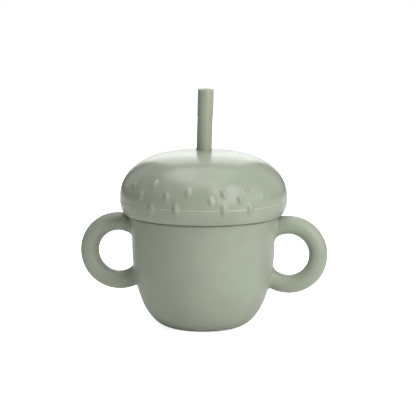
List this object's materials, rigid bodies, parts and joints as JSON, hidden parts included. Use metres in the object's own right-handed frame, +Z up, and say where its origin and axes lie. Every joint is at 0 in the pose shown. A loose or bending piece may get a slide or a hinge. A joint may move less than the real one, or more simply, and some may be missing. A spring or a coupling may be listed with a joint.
{
  "type": "toddler straw cup",
  "caption": "Silicone toddler cup with a ring handle on each side, a domed press-on lid with a band of raised bumps, and a straight straw through the lid.",
  "frame": {"origin": "centre of the cup's base, on the surface that it stands on", "axes": "+Z up along the cup's axis, +X through the right-hand handle, -Y towards the front; the straw leans 1.5 degrees towards +X"},
  "size_m": [0.1292, 0.0866, 0.1237],
  "materials": {
    "silicone_cup": "matt sage-green moulded silicone",
    "silicone_lid": "satin sage-green moulded silicone",
    "silicone_straw": "satin sage-green extruded silicone"
  },
  "bodies": {
    "cup": {"cup_body": "silicone_cup"},
    "lid": {"lid": "silicone_lid"},
    "straw": {"straw": "silicone_straw"}
  },
  "joints": [
    {"name": "lid_lift", "type": "slide", "parent": "cup", "child": "lid", "axis": [0, 0, 1], "range_m": [0, 0.08]},
    {"name": "straw_pull", "type": "slide", "parent": "lid", "child": "straw", "axis": [0.0262, 0, 0.9997], "range_m": [0, 0.09]}
  ]
}
